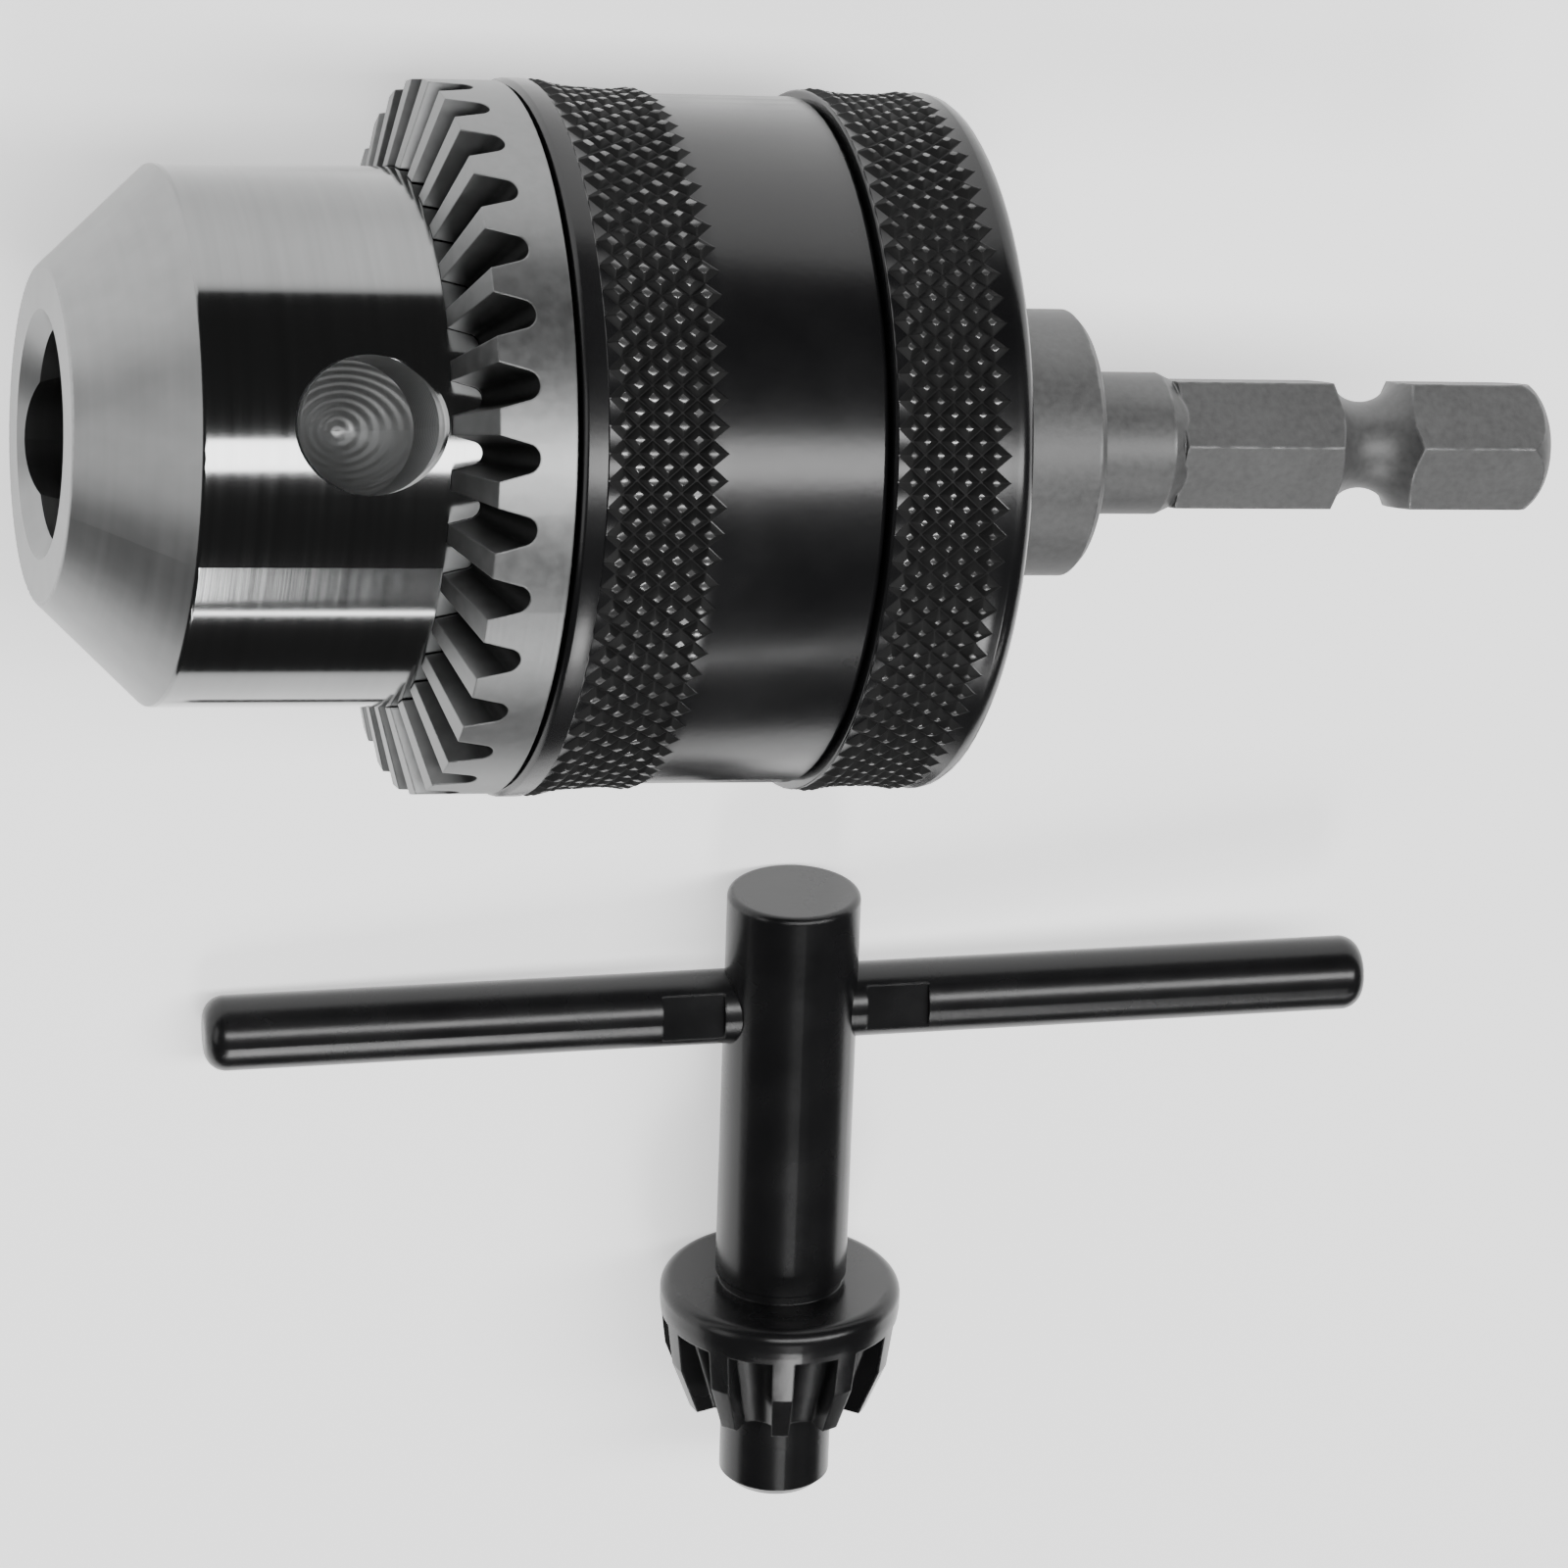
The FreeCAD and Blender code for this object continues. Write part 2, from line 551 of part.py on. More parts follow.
def key_stem():
    """Pilot, bevel pinion, flange and stem along +X, tip at x = 0."""
    stem = revolve([
        (0, 0),
        (0, KEY_PILOT_R - KEY_PILOT_CHAMFER),
        (KEY_PILOT_CHAMFER, KEY_PILOT_R),
        (KEY_PILOT_LENGTH, KEY_PILOT_R),
        (KEY_PILOT_LENGTH, KEY_CREST_SLOPE * (KEY_SEAT_R + KEY_PILOT_LENGTH)),
        (KEY_CONE_END_X, KEY_CONE_END_R),
        (KEY_FLANGE_X, KEY_FLANGE_R),
        (KEY_FLANGE_TOP_X, KEY_FLANGE_R),
        (KEY_FLANGE_TOP_X, KEY_STEM_R - KEY_UNDERCUT_DEPTH),
        (KEY_FLANGE_TOP_X + KEY_UNDERCUT_WIDTH, KEY_STEM_R - KEY_UNDERCUT_DEPTH),
        (KEY_FLANGE_TOP_X + KEY_UNDERCUT_WIDTH, KEY_STEM_R),
        (KEY_LENGTH, KEY_STEM_R),
        (KEY_LENGTH, 0),
    ])
    stem = fillet_rings(stem, KEY_BACK_FILLET, [(KEY_LENGTH, KEY_STEM_R)])
    stem = fillet_rings(stem, KEY_RIM_FILLET, [(KEY_FLANGE_TOP_X, KEY_FLANGE_R)])
    stem = fillet_rings(stem, KEY_SHOULDER_FILLET, [(KEY_FLANGE_X, KEY_FLANGE_R)])
    pitch = 2 * math.pi * (KEY_CREST_SLOPE + KEY_ROOT_SLOPE) / 2 / PINION_TEETH
    mouth = PINION_MOUTH_SHARE * pitch / 2
    foot = PINION_FOOT_SHARE * pitch / 2
    crest = KEY_CREST_SLOPE
    root = KEY_ROOT_SLOPE
    foot_slope = root + PINION_FOOT_ROUNDING * (crest - root)
    corners = [
        FreeCAD.Vector(1, mouth, crest),
        FreeCAD.Vector(1, foot, foot_slope),
        FreeCAD.Vector(1, 0, root),
        FreeCAD.Vector(1, -foot, foot_slope),
        FreeCAD.Vector(1, -mouth, crest),
        FreeCAD.Vector(1, -mouth, 2 * crest),
        FreeCAD.Vector(1, mouth, 2 * crest),
    ]
    near = KEY_SEAT_R + KEY_PILOT_LENGTH
    space = tooth_space(corners, near - TOOTH_OVERRUN, near + KEY_VALLEY_LENGTH)
    space.translate(FreeCAD.Vector(-KEY_SEAT_R, 0, 0))
    for tooth in range(PINION_TEETH):
        stem = stem.cut(turned(space, PINION_TURN + tooth * 360 / PINION_TEETH))
    hole_start = bar_centre() - BAR_AXIS * (2 * KEY_STEM_R)
    hole = Part.makeCylinder(BAR_R, 4 * KEY_STEM_R, hole_start, BAR_AXIS)
    return one_solid(stem.cut(hole))


def bar_centre():
    """Middle of the cross bar in the key's own frame."""
    return FreeCAD.Vector(KEY_LENGTH - BAR_FROM_BACK, 0, 0)


def tommy_bar():
    """Round cross bar, staked flat beside the stem so that it can't slide out."""
    start = bar_centre() - FreeCAD.Vector(0, BAR_LENGTH / 2, 0)
    bar = Part.makeCylinder(BAR_R, BAR_LENGTH, start, BAR_AXIS)
    ends = [edge for edge in bar.Edges if isinstance(edge.Curve, Part.Circle)]
    bar = bar.makeFillet(BAR_END_FILLET, ends)
    for side in (-1, 1):
        middle = side * (KEY_STEM_R + STAKE_GAP + STAKE_LENGTH / 2)
        flat = Part.makeBox(
            2 * BAR_R, STAKE_LENGTH, BAR_R,
            FreeCAD.Vector(-BAR_R, middle - STAKE_LENGTH / 2, BAR_R - STAKE_DEPTH),
        )
        flat.rotate(ORIGIN, BAR_AXIS, STAKE_ANGLE)
        flat.translate(bar_centre())
        bar = bar.cut(flat)
    return one_solid(bar)


def key_placement(stem, bar):
    """Where the key lies beside the chuck, resting on the chuck's surface."""
    roll = FreeCAD.Rotation(X_AXIS, -math.degrees(key_roll()))
    pitch = FreeCAD.Rotation(FreeCAD.Vector(0, 1, 0), math.degrees(key_pitch()))
    yaw = FreeCAD.Rotation(FreeCAD.Vector(0, 0, 1), 90 + KEY_YAW)
    turn = yaw.multiply(pitch).multiply(roll)
    lying = FreeCAD.Placement(ORIGIN, turn)
    whole = Part.makeCompound([stem, bar])
    whole.Placement = lying
    lowest = whole.optimalBoundingBox(False).ZMin
    centre = lying.multVec(bar_centre())
    bar_y = -SLEEVE_RIM_R - KEY_BAR_DISTANCE
    shift = FreeCAD.Vector(KEY_BAR_X - centre.x, bar_y - centre.y, -SLEEVE_RIM_R - lowest)
    return FreeCAD.Placement(shift, turn)


def placed(shape, placement):
    """Copy of a shape moved by a placement."""
    copy = shape.copy()
    copy.Placement = placement.multiply(copy.Placement)
    return copy


os.makedirs("parts", exist_ok=True)
key_parts = {"key_stem": key_stem(), "tommy_bar": tommy_bar()}
key_rest = key_placement(key_parts["key_stem"], key_parts["tommy_bar"])
nodes = {
    "chuck_body": chuck_body(),
    "nut_half_a": nut_half(1),
    "nut_half_b": nut_half(-1),
    "ring_gear": ring_gear(),
    "sleeve": sleeve(),
    "rear_collar": rear_collar(),
    "shank_adapter": shank_adapter(),
}
for number in range(JAW_COUNT):
    nodes[f"jaw_{number + 1}"] = jaw(number)
for name, shape in key_parts.items():
    nodes[name] = placed(shape, key_rest)
for name, shape in nodes.items():
    shape.exportStep(f"parts/{name}.step")
    print(name, round(shape.Volume, 2), shape.isValid(), len(shape.Solids))
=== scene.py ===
"""A keyed drill chuck and its T-handled key, lying on a pale surface.

The steel pieces come in with the frame. The knurled sleeve and the knurled rear collar are modelled here.
"""
import math

import bmesh
import bpy
from mathutils import Matrix, Vector


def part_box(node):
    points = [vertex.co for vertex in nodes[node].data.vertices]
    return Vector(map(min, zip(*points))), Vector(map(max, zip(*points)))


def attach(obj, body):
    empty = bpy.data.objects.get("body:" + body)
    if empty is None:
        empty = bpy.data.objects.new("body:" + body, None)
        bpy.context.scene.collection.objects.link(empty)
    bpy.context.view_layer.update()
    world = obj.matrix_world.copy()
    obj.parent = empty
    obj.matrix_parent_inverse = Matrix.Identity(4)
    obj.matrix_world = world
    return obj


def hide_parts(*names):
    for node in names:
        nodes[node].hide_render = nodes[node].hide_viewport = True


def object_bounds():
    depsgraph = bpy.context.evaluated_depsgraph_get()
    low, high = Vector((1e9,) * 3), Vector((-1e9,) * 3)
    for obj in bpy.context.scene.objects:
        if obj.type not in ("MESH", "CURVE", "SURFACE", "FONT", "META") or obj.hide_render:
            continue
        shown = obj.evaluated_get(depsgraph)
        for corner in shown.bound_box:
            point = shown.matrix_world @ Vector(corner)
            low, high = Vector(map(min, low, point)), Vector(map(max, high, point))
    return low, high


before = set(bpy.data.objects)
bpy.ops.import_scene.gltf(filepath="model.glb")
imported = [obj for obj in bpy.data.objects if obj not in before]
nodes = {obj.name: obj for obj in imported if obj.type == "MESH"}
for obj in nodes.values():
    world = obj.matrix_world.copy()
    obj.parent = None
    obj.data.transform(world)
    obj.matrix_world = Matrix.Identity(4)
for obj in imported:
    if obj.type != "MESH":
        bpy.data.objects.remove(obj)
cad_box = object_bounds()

# ---- surface and camera ---------------------------------------------------
# A pale matt board carries the chuck on its sleeve rim. The camera looks down from the far side with a
# long lens, nose end nearest, so the chuck's axis runs away to the right at 17 degrees.
MM = 0.001
floor_z = cad_box[0][2]
bpy.ops.object.select_all(action="DESELECT")
bpy.ops.mesh.primitive_plane_add(size=4.0, location=(0, 0, floor_z))
board = bpy.context.object
board.name = "pale_board"

AXIS_TURN = math.radians(17.0)
VIEW_TIP = math.radians(-31.0)
CAMERA_ROLL = math.radians(-0.45)
LENS, SENSOR_WIDTH = 153.9, 36
STAND_RIGHT, STAND_DOWN, STAND_BACK = 35.47 * MM, 17.0 * MM, 320.6 * MM
right = Vector((
    math.cos(AXIS_TURN),
    -math.sin(VIEW_TIP) * math.sin(AXIS_TURN),
    math.cos(VIEW_TIP) * math.sin(AXIS_TURN),
))
up = Vector((0, math.cos(VIEW_TIP), math.sin(VIEW_TIP)))
back = right.cross(up)
camera_data = bpy.data.cameras.new("camera")
camera_data.sensor_width = SENSOR_WIDTH
camera_data.lens = LENS
camera_data.clip_start = 0.01
camera = bpy.data.objects.new("camera", camera_data)
bpy.context.scene.collection.objects.link(camera)
stand = Matrix.Translation(STAND_RIGHT * right - STAND_DOWN * up + STAND_BACK * back)
aim = Matrix((right, up, back)).transposed().to_4x4()
camera.matrix_world = stand @ aim @ Matrix.Rotation(CAMERA_ROLL, 4, "Z")
bpy.context.scene.camera = camera


class Link:
    """A shader socket that takes part in sums as a number does."""

    def __init__(self, socket):
        self.socket = socket

    def node(self, kind, settings, sockets, output=0):
        """Add a node: its settings first, then the values or links of its sockets."""
        made = self.socket.id_data.nodes.new("ShaderNode" + kind)
        for name, value in settings.items():
            setattr(made, name, value)
        for name, value in sockets.items():
            if isinstance(value, Link):
                self.socket.id_data.links.new(value.socket, made.inputs[name])
            else:
                made.inputs[name].default_value = value
        return Link(made.outputs[output])

    def sum(self, operation, first, second):
        return self.node("Math", {"operation": operation}, {0: first, 1: second})

    def __add__(self, other):
        return self.sum("ADD", self, other)

    __radd__ = __add__

    def __sub__(self, other):
        return self.sum("SUBTRACT", self, other)

    def __rsub__(self, other):
        return self.sum("SUBTRACT", other, self)

    def __mul__(self, other):
        return self.sum("MULTIPLY", self, other)

    __rmul__ = __mul__

    def __truediv__(self, other):
        return self.sum("DIVIDE", self, other)

    def between(self, low, high, start=0.0, end=1.0):
        """Ramp from start to end while this value goes from low to high, held at both ends."""
        return self.node("MapRange", {"clamp": True}, {
            "Value": self, "From Min": low, "From Max": high, "To Min": start, "To Max": end})


def new_material(name):
    """An empty metal material: the material, its shader node and its Object coordinates."""
    material = bpy.data.materials.new(name)
    material.use_nodes = True
    tree = material.node_tree
    shader = tree.nodes["Principled BSDF"]
    place = Link(tree.nodes.new("ShaderNodeTexCoord").outputs["Object"])
    return material, shader, place


def set_shader(shader, values):
    """Give the shader's sockets their values or links."""
    for name, value in values.items():
        if isinstance(value, Link):
            shader.id_data.links.new(value.socket, shader.inputs[name])
        else:
            shader.inputs[name].default_value = value


def noise(place, scale, detail=2.0, stretch=(1, 1, 1)):
    """Soft noise from 0 to 1, stretched along the axes."""
    stretched = place.node("VectorMath", {"operation": "MULTIPLY"}, {0: place, 1: stretch})
    return place.node("TexNoise", {"noise_dimensions": "3D"}, {
        "Vector": stretched, "Scale": scale, "Detail": detail})


def tint(amount, dark, light):
    """Mix two colours by a value from 0 to 1."""
    return amount.node("Mix", {"data_type": "RGBA"}, {
        "Factor": amount, 6: (*dark, 1), 7: (*light, 1)}, output=2)


board_finish, shader, place = new_material("pale_board")
set_shader(shader, {
    "Base Color": tint(noise(place, 3.0), (0.88, 0.88, 0.88), (0.91, 0.91, 0.91)),
    "Roughness": 0.8,
    "Emission Color": (1, 1, 1, 1),
    "Emission Strength": 0.9,
})
board.data.materials.append(board_finish)

# ---- lights ---------------------------------------------------------------
# A long soft light overhead makes the bright band on the polished nose and a thin strip the fine line
# below it. Weak panels in front and beside it light the cone and the gear; the room stays dark.
world = bpy.data.worlds.new("room")
world.use_nodes = True
world.node_tree.nodes["Background"].inputs["Color"].default_value = (1, 1, 1, 1)
world.node_tree.nodes["Background"].inputs["Strength"].default_value = 0.05
bpy.context.scene.world = world


def soft_light(name, place, aim, long_way, length, width, watts):
    """A rectangular soft light at a place, pointed at another, its length lying along long_way."""
    lamp = bpy.data.lights.new(name, "AREA")
    lamp.shape = "RECTANGLE"
    lamp.size = length
    lamp.size_y = width
    lamp.energy = watts
    holder = bpy.data.objects.new(name, lamp)
    bpy.context.scene.collection.objects.link(holder)
    away = (Vector(place) - Vector(aim)).normalized()
    across = away.cross(Vector(long_way)).normalized()
    along = across.cross(away)
    turn = Matrix((along, across, away)).transposed().to_4x4()
    holder.matrix_world = Matrix.Translation(place) @ turn


middle = (0.04, -0.02, 0)
nose = (0, 0, 0)
along_chuck, across_chuck = (1, 0, 0), (0, 1, 0)
soft_light("overhead", (0.16, 0.19, 0.53), middle, along_chuck, length=0.8, width=0.13, watts=5.0)
soft_light("low_strip", (0.16, -0.5, 0.4), middle, along_chuck, length=0.8, width=0.02, watts=0.8)
soft_light("front_panel", (-0.7, 0.05, 0.25), nose, across_chuck, length=0.5, width=0.3, watts=1.0)
soft_light("side_panel", (0.1, -0.75, 0.95), middle, along_chuck, length=0.3, width=0.3, watts=5.0)

# ---- chuck body -----------------------------------------------------------
# The body is turned from steel bar and drilled for the jaws and for the key's pilot. The cone keeps its
# fine lathe rings, the cylinder is polished bright, and the drill leaves rings in the pilot holes.
CONE_END, POLISHED_R = 5.2, 13.0
GRAIN_DEPTH = 0.03 * MM


def around_axis(place):
    """Station along the chuck's axis and distance from it, in millimetres."""
    split = place.node("SeparateXYZ", {}, {0: place})
    parts = split.socket.node.outputs
    x, y, z = Link(parts[0]), Link(parts[1]), Link(parts[2])
    square = y * y + z * z
    return x * (1 / MM), square.sum("POWER", square, 0.5) * (1 / MM)


def dress(name, material):
    """Give a carried-over steel piece its finish."""
    node = nodes[name]
    node.data.materials.clear()
    node.data.materials.append(material)


nose_steel, shader, place = new_material("bright_nose")
x, radius = around_axis(place)
on_cone = x.between(CONE_END - 0.05, CONE_END + 0.05, 1.0, 0.0)
in_hole = radius.between(POLISHED_R - 0.1, POLISHED_R, 1.0, 0.0) * (1 - on_cone)
lathe = noise(place, 1.0, 4.0, (9000, 120, 120))
buffing = noise(place, 1.0, 3.0, (2200, 60, 60))
grind = noise(place, 1.0, 2.0, (25, 700, 700))
smudge = noise(place, 160.0, 3.0)
drill_rings = radius.node("Math", {"operation": "SINE"}, {0: radius * 20})
height = lathe * 0.4 + buffing * 0.4 + grind * on_cone * 0.5 + drill_rings * in_hole * 0.8
shine = smudge * 0.3 + buffing * 0.3 + grind * on_cone * 0.3 + in_hole * 1.2
set_shader(shader, {
    "Base Color": tint(shine, (0.17, 0.172, 0.172), (0.34, 0.343, 0.343)),
    "Metallic": 1.0,
    "Roughness": on_cone * 0.26 + buffing * 0.06 + in_hole * 0.26 + 0.07,
    "Normal": height.node("Bump", {}, {
        "Height": height, "Strength": on_cone * 0.14 + in_hole * 0.3 + 0.06, "Distance": GRAIN_DEPTH}),
})
dress("chuck_body", nose_steel)

# ---- jaws -----------------------------------------------------------------
# Three hardened steel jaws slide in the body's inclined holes, driven by the thread cut in their backs.
# They are ground to size and lightly oiled.
jaw_steel, shader, place = new_material("jaw_steel")
grain = noise(place, 900.0, 3.0)
set_shader(shader, {
    "Base Color": tint(grain, (0.2, 0.2, 0.205), (0.36, 0.36, 0.365)),
    "Metallic": 1.0,
    "Roughness": grain * 0.15 + 0.3,
})
for number in (1, 2, 3):
    dress(f"jaw_{number}", jaw_steel)

# ---- split nut ------------------------------------------------------------
# The nut is turned from steel as one ring, then snapped in two to go round the body's groove. The
# sleeve, pressed over it, holds the halves shut.
nut_steel, shader, place = new_material("nut_steel")
grain = noise(place, 1.0, 3.0, (3000, 200, 200))
set_shader(shader, {
    "Base Color": tint(grain, (0.22, 0.22, 0.22), (0.42, 0.42, 0.42)),
    "Metallic": 1.0,
    "Roughness": grain * 0.2 + 0.3,
})
dress("nut_half_a", nut_steel)
dress("nut_half_b", nut_steel)

# ---- ring gear ------------------------------------------------------------
# A bevel ring of satin grey steel with 32 milled teeth, pressed into the front of the sleeve. The rim
# keeps fine turned lines, and painted shade darkens the valleys between the teeth below the crests.
def worn_edge(place, height, strength, radius):
    """Normal with a fine grain and softly broken edges of a radius in millimetres."""
    broken = place.node("Bevel", {"samples": 4}, {"Radius": radius * MM})
    return height.node("Bump", {}, {
        "Height": height, "Strength": strength, "Distance": GRAIN_DEPTH, "Normal": broken})


gear_steel, shader, place = new_material("satin_gear_steel")
x, radius = around_axis(place)
GEAR_APEX, GEAR_RIM_R = 13.2, 17.36
CREST_SLOPE, VALLEY_SLOPE = 0.295, 0.39
slope = (x - GEAR_APEX) / radius
inside_rim = radius.between(GEAR_RIM_R - 0.04, GEAR_RIM_R, 1.0, 0.0)
# Painted shade: this mask is 1 in the valleys between the teeth, where shade falls, and 0 on the crests.
in_valley = slope.between(CREST_SLOPE, VALLEY_SLOPE) * inside_rim
grain = noise(place, 1500.0, 4.0)
turned_lines = noise(place, 1.0, 3.0, (5000, 100, 100))
# The colour carries painted shade in the valleys, times a random grain tone that is the steel's own.
painted_valley_shade_and_grain = (1 - in_valley * 0.92) * (grain * 0.3 + 0.7)
set_shader(shader, {
    "Base Color": tint(painted_valley_shade_and_grain, (0.006, 0.006, 0.006), (0.23, 0.233, 0.233)),
    "Metallic": 1.0,
    "Roughness": grain * 0.12 + in_valley * 0.1 + 0.34,
    "Normal": worn_edge(place, grain * 0.5 + turned_lines * 0.5, 0.25, 0.12),
})
dress("ring_gear", gear_steel)

# ---- sleeve ---------------------------------------------------------------
# The sleeve is turned from steel tube, rolled with a diamond knurl and blackened. It turns with the gear
# and the nut, and handling has worn the tips of its knurl.
KNURLS_AROUND = 84
KNURL_ROWS = 4
KNURL_DEPTH = 0.3
GROOVE_RUN_OUT = 0.16
FLANKS, TIPS = 1, 2


def turn_shell(name, outline):
    """Turn a closed ring about X from (x, radius) points in millimetres, last point joined to the first."""
    bpy.ops.object.select_all(action="DESELECT")
    first_x, first_r = outline[0]
    bpy.ops.mesh.primitive_circle_add(
        vertices=KNURLS_AROUND,
        radius=first_r * MM,
        location=(first_x * MM, 0, 0),
        rotation=(0, math.pi / 2, 0),
    )
    shell = bpy.context.object
    shell.name = name
    bpy.ops.object.transform_apply(location=True, rotation=True, scale=True)
    bpy.ops.object.mode_set(mode="EDIT")
    bpy.ops.mesh.select_all(action="SELECT")
    now_x, now_r = first_x, first_r
    for x, radius in outline[1:] + outline[:1]:
        bpy.ops.mesh.extrude_edges_move(TRANSFORM_OT_translate={"value": ((x - now_x) * MM, 0, 0)})
        scale = radius / now_r
        bpy.ops.transform.resize(value=(1, scale, scale), center_override=(x * MM, 0, 0))
        now_x, now_r = x, radius
    bpy.ops.mesh.select_all(action="SELECT")
    bpy.ops.mesh.remove_doubles(threshold=0.01 * MM)
    bpy.ops.mesh.normals_make_consistent(inside=False)
    bpy.ops.object.mode_set(mode="OBJECT")
    return shell


def knurl(shell, start, end, least_radius, flat_inset):
    """Raise flat-topped diamonds on the rows of faces between two stations."""
    bpy.ops.object.select_all(action="DESELECT")
    bpy.context.view_layer.objects.active = shell
    shell.select_set(True)
    bpy.ops.object.mode_set(mode="EDIT")
    bpy.ops.mesh.select_mode(type="FACE")
    bpy.ops.mesh.select_all(action="DESELECT")
    mesh = bmesh.from_edit_mesh(shell.data)
    slack = 0.01

    def in_band(face):
        stations = [corner.co.x / MM for corner in face.verts]
        middle = face.calc_center_median()
        wide_enough = math.hypot(middle.y, middle.z) / MM > least_radius
        return wide_enough and min(stations) > start - slack and max(stations) < end + slack

    band = [face for face in mesh.faces if in_band(face)]
    for face in band:
        face.select_set(True)
    bpy.ops.mesh.poke()
    mesh = bmesh.from_edit_mesh(shell.data)
    bpy.ops.mesh.select_mode(type="EDGE")
    bpy.ops.mesh.select_all(action="DESELECT")
    for edge in mesh.edges:
        if len(edge.link_faces) != 2:
            continue
        if all(len(face.verts) == 3 and in_band(face) for face in edge.link_faces):
            if all(len(corner.link_edges) > 4 for corner in edge.verts):
                edge.select_set(True)
    bpy.ops.mesh.dissolve_edges(use_verts=False)
    mesh = bmesh.from_edit_mesh(shell.data)
    bpy.ops.mesh.select_mode(type="FACE")
    bpy.ops.mesh.select_all(action="DESELECT")
    for face in mesh.faces:
        if len(face.verts) == 4 and in_band(face):
            stations = sorted(corner.co.x / MM for corner in face.verts)
            if stations[1] - stations[0] > slack and stations[3] - stations[2] > slack:
                face.select_set(True)
    shell.active_material_index = FLANKS
    bpy.ops.object.material_slot_assign()
    bpy.ops.mesh.inset(use_individual=True, thickness=flat_inset * MM, depth=KNURL_DEPTH * MM)
    shell.active_material_index = TIPS
    bpy.ops.object.material_slot_assign()
    bpy.ops.object.mode_set(mode="OBJECT")


def soften(piece, width, angle):
    """Break the sharp edges and smooth the rest."""
    bpy.ops.object.select_all(action="DESELECT")
    bpy.context.view_layer.objects.active = piece
    piece.select_set(True)
    bevel = piece.modifiers.new("broken_edges", "BEVEL")
    bevel.width = width * MM
    bevel.segments = 1
    bevel.limit_method = "ANGLE"
    bevel.angle_limit = math.radians(angle)
    bpy.ops.object.modifier_apply(modifier=bevel.name)
    bpy.ops.object.shade_smooth_by_angle(angle=math.radians(angle))


def knurl_rows(start, end, start_r, end_r):
    """Rings of a knurled band: the grooves run out at both ends and are full depth between."""
    band = []
    for row in range(KNURL_ROWS + 1):
        share = row / KNURL_ROWS
        depth = GROOVE_RUN_OUT if row in (0, KNURL_ROWS) else GROOVE_RUN_OUT + KNURL_DEPTH
        band.append((start + (end - start) * share, start_r + (end_r - start_r) * share - depth))
    return band


black_oxide, shader, place = new_material("black_oxide")
smudge = noise(place, 220.0, 4.0)
grain = noise(place, 2500.0, 3.0)
set_shader(shader, {
    "Base Color": tint(smudge, (0.003, 0.003, 0.0034), (0.009, 0.009, 0.0095)),
    "Roughness": smudge * 0.16 + 0.16,
    "Specular IOR Level": 0.4,
    "Normal": grain.node("Bump", {}, {"Height": grain, "Strength": 0.1, "Distance": GRAIN_DEPTH}),
})

knurl_flanks, shader, place = new_material("knurl_flanks")
grime = noise(place, 500.0, 4.0)
set_shader(shader, {
    "Base Color": tint(grime, (0.002, 0.002, 0.002), (0.006, 0.006, 0.006)),
    "Roughness": grime * 0.2 + 0.5,
    "Specular IOR Level": 0.2,
})

knurl_tips, shader, place = new_material("knurl_tips")
wear = noise(place, 350.0, 3.0).between(0.35, 0.65)
set_shader(shader, {
    "Base Color": tint(wear, (0.012, 0.012, 0.012), (0.16, 0.16, 0.16)),
    "Metallic": wear * 0.5 + 0.3,
    "Roughness": 0.36 - wear * 0.14,
})


def blacken(shell):
    """Give the shell its oxide skin, duller groove flanks and tips worn by hands, slot by slot."""
    for finish in (black_oxide, knurl_flanks, knurl_tips):
        shell.data.materials.append(finish)


sleeve_low, sleeve_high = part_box("sleeve")
SLEEVE_FRONT, SLEEVE_BACK, RIM_R = sleeve_low[0] / MM, sleeve_high[0] / MM, sleeve_high[2] / MM
RIM_END, BAND_START = SLEEVE_FRONT + 1.26, SLEEVE_FRONT + 7.16
BAND_BACK_R, SMOOTH_R = RIM_R - 0.37, RIM_R - 0.6
SPIGOT_R, NUT_R, RELIEF_R = 15.7, 14.2, 15.2
SPIGOT_END, NUT_END = 24.4, 27.7
sleeve = turn_shell("sleeve_knurled", [
    (SLEEVE_FRONT, SPIGOT_R),
    (SLEEVE_FRONT, RIM_R - 0.25),
    (SLEEVE_FRONT + 0.25, RIM_R),
    (RIM_END - 0.04, RIM_R),
    *knurl_rows(RIM_END, BAND_START, RIM_R, BAND_BACK_R),
    (BAND_START + 0.3, SMOOTH_R),
    (SLEEVE_BACK - 0.25, SMOOTH_R),
    (SLEEVE_BACK, SMOOTH_R - 0.25),
    (SLEEVE_BACK, RELIEF_R),
    (NUT_END, RELIEF_R),
    (NUT_END, NUT_R),
    (SPIGOT_END, NUT_R),
    (SPIGOT_END, SPIGOT_R),
])
blacken(sleeve)
knurl(sleeve, RIM_END, BAND_START, least_radius=RELIEF_R + 1, flat_inset=0.3)
soften(sleeve, width=0.04, angle=25)
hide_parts("sleeve")
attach(sleeve, "sleeve_unit")

# ---- rear collar ----------------------------------------------------------
# A knurled steel cup, pressed over the body's flange and blackened like the sleeve. A hand holds it
# still while the sleeve turns.
collar_low, collar_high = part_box("rear_collar")
COLLAR_FRONT, COLLAR_BACK, COLLAR_R = collar_low[0] / MM, collar_high[0] / MM, collar_high[2] / MM
COLLAR_KNURL, COLLAR_KNURL_END, FLANGE_END = COLLAR_FRONT + 0.17, COLLAR_BACK - 1.32, COLLAR_BACK - 1.4
COLLAR_BACK_R, FLANGE_R, HUB_R = COLLAR_R - 0.08, 16.0, 8.2
EDGE_R, EDGE_STEPS = 1.0, 4
edge = []
for step in range(EDGE_STEPS + 1):
    turn = math.pi / 2 * step / EDGE_STEPS
    edge.append((
        COLLAR_BACK - EDGE_R + EDGE_R * math.sin(turn),
        COLLAR_BACK_R - EDGE_R + EDGE_R * math.cos(turn),
    ))
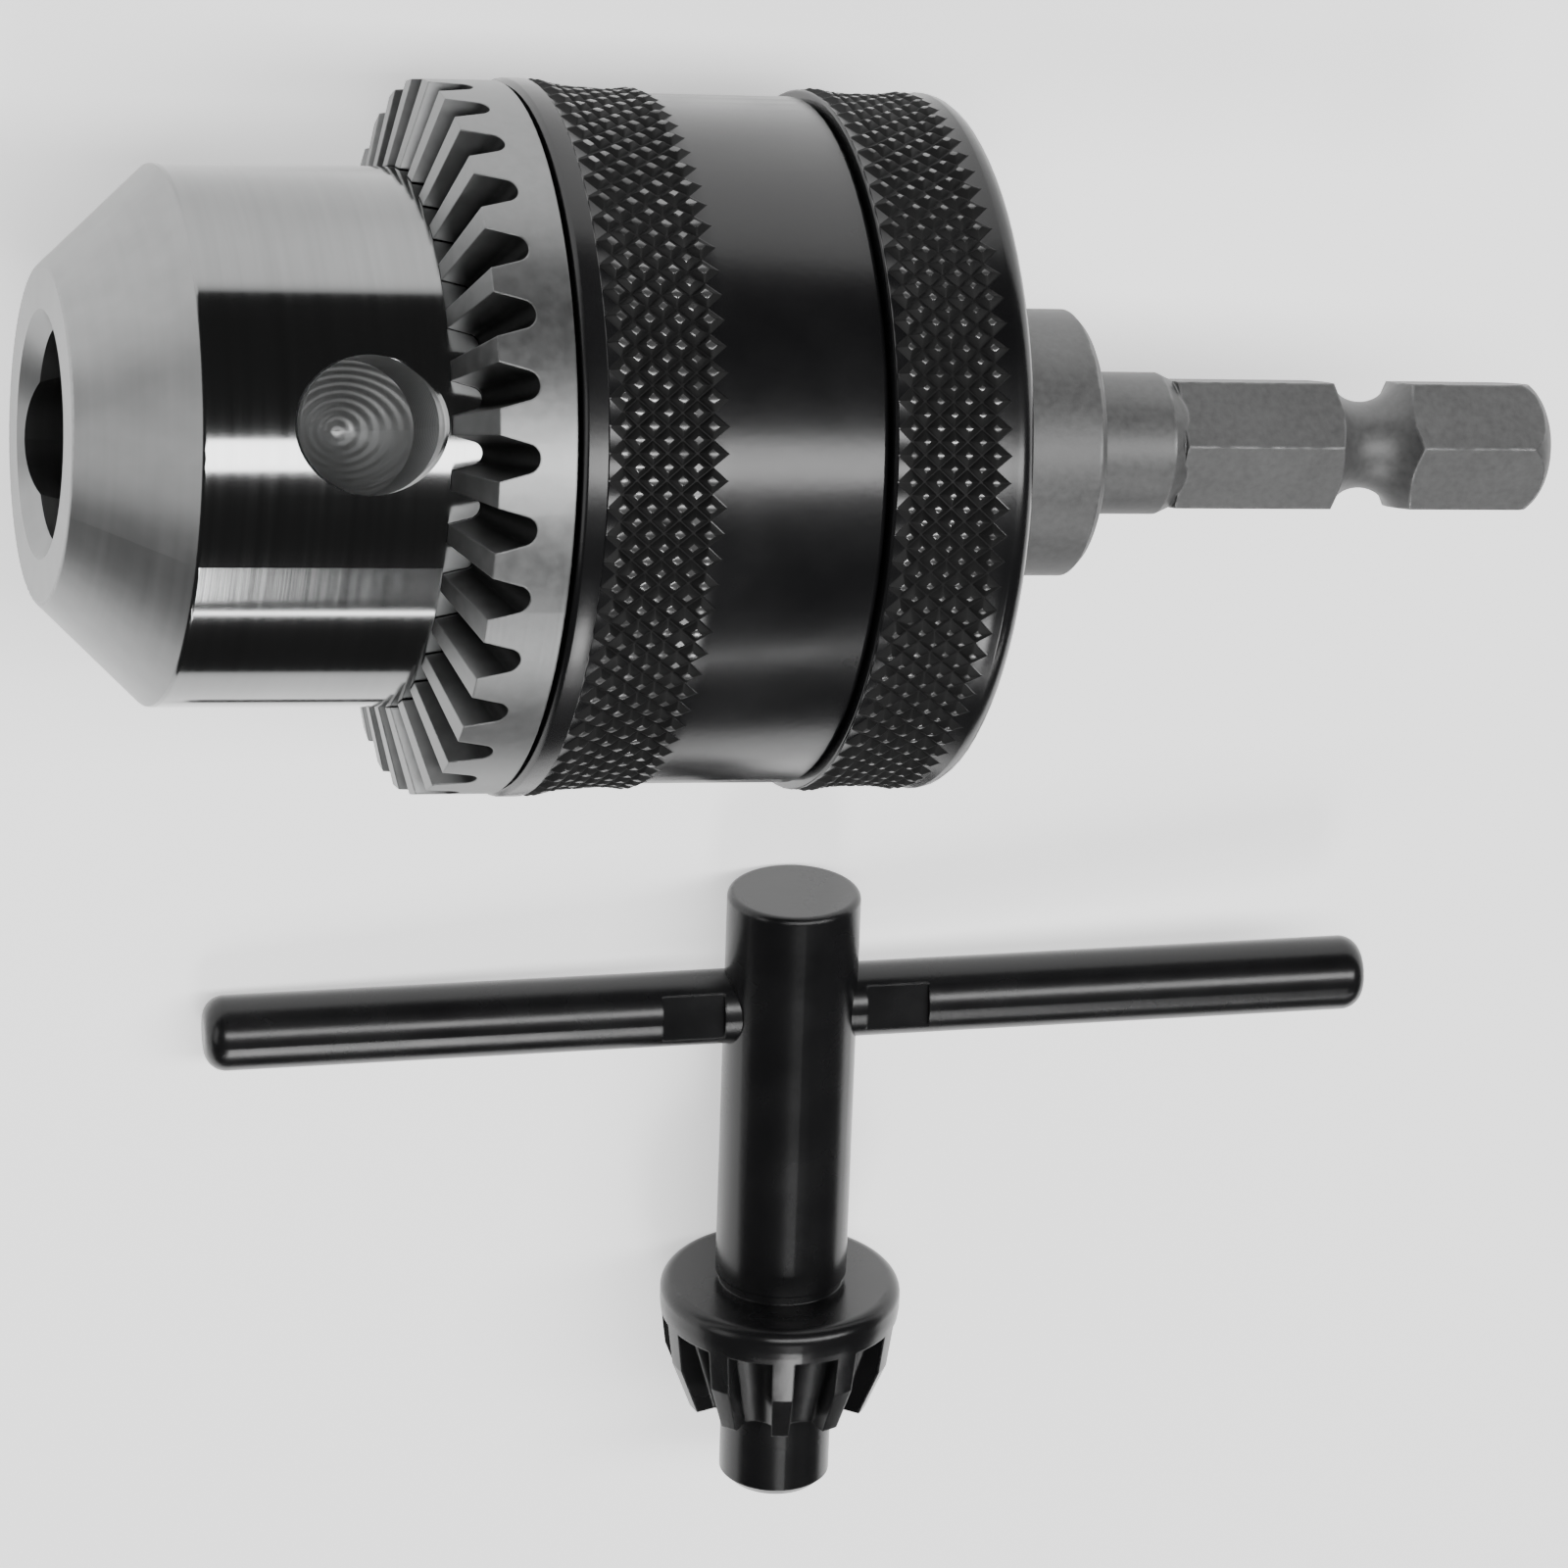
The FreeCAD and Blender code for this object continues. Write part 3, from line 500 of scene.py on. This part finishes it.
collar = turn_shell("rear_collar_knurled", [
    (COLLAR_FRONT, FLANGE_R),
    (COLLAR_FRONT, COLLAR_R - 0.17),
    (COLLAR_FRONT + 0.06, COLLAR_R - 0.08),
    (COLLAR_KNURL - 0.04, COLLAR_R - 0.08),
    *knurl_rows(COLLAR_KNURL, COLLAR_KNURL_END, COLLAR_R, COLLAR_BACK_R),
    *edge,
    (COLLAR_BACK, HUB_R),
    (FLANGE_END, HUB_R),
    (FLANGE_END, FLANGE_R),
])
blacken(collar)
knurl(collar, COLLAR_KNURL, COLLAR_KNURL_END, least_radius=FLANGE_R + 0.5, flat_inset=0.34)
soften(collar, width=0.04, angle=25)
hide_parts("rear_collar")
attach(collar, "chuck")

# ---- hex adapter ----------------------------------------------------------
# Hardened steel with a fine blasted, phosphated skin, rubbed bright on its corners. Its threaded stud
# screws into the body's tail, and its hex goes into a quick-change socket.
def corner_wear(place, radius):
    """1 near an outside edge of the piece and 0 away from it, for a radius in millimetres."""
    broken = place.node("Bevel", {"samples": 4}, {"Radius": radius * MM})
    flat = place.node("NewGeometry", {}, {}, output=1)
    facing = broken.node("VectorMath", {"operation": "DOT_PRODUCT"}, {0: broken, 1: flat}, output=1)
    return facing.between(0.999, 0.97)


adapter_steel, shader, place = new_material("phosphated_steel")
grain = noise(place, 2600.0, 4.0)
blotch = noise(place, 300.0, 3.0)
edge_wear = corner_wear(place, 0.25) * noise(place, 900.0, 2.0).between(0.4, 0.6)
set_shader(shader, {
    "Base Color": tint(grain * 0.45 + blotch * 0.25 + edge_wear, (0.055, 0.055, 0.055), (0.2, 0.201, 0.201)),
    "Metallic": edge_wear * 0.4 + 0.5,
    "Roughness": grain * 0.2 + 0.42 - edge_wear * 0.15,
    "Normal": worn_edge(place, grain, 0.35, 0.15),
})
dress("shank_adapter", adapter_steel)

# ---- chuck key ------------------------------------------------------------
# Stem, pinion and pilot are one piece, turned and milled from steel. The bar is pushed through the stem
# and staked on both sides, and the whole key is oiled black.
key_steel, shader, place = new_material("black_key_steel")
smudge = noise(place, 260.0, 4.0)
grain = noise(place, 3000.0, 3.0)
set_shader(shader, {
    "Base Color": tint(smudge, (0.003, 0.003, 0.0033), (0.009, 0.009, 0.0095)),
    "Roughness": smudge * 0.16 + 0.18,
    "Specular IOR Level": 0.35,
    "Normal": worn_edge(place, grain, 0.1, 0.15),
})
dress("key_stem", key_steel)
dress("tommy_bar", key_steel)
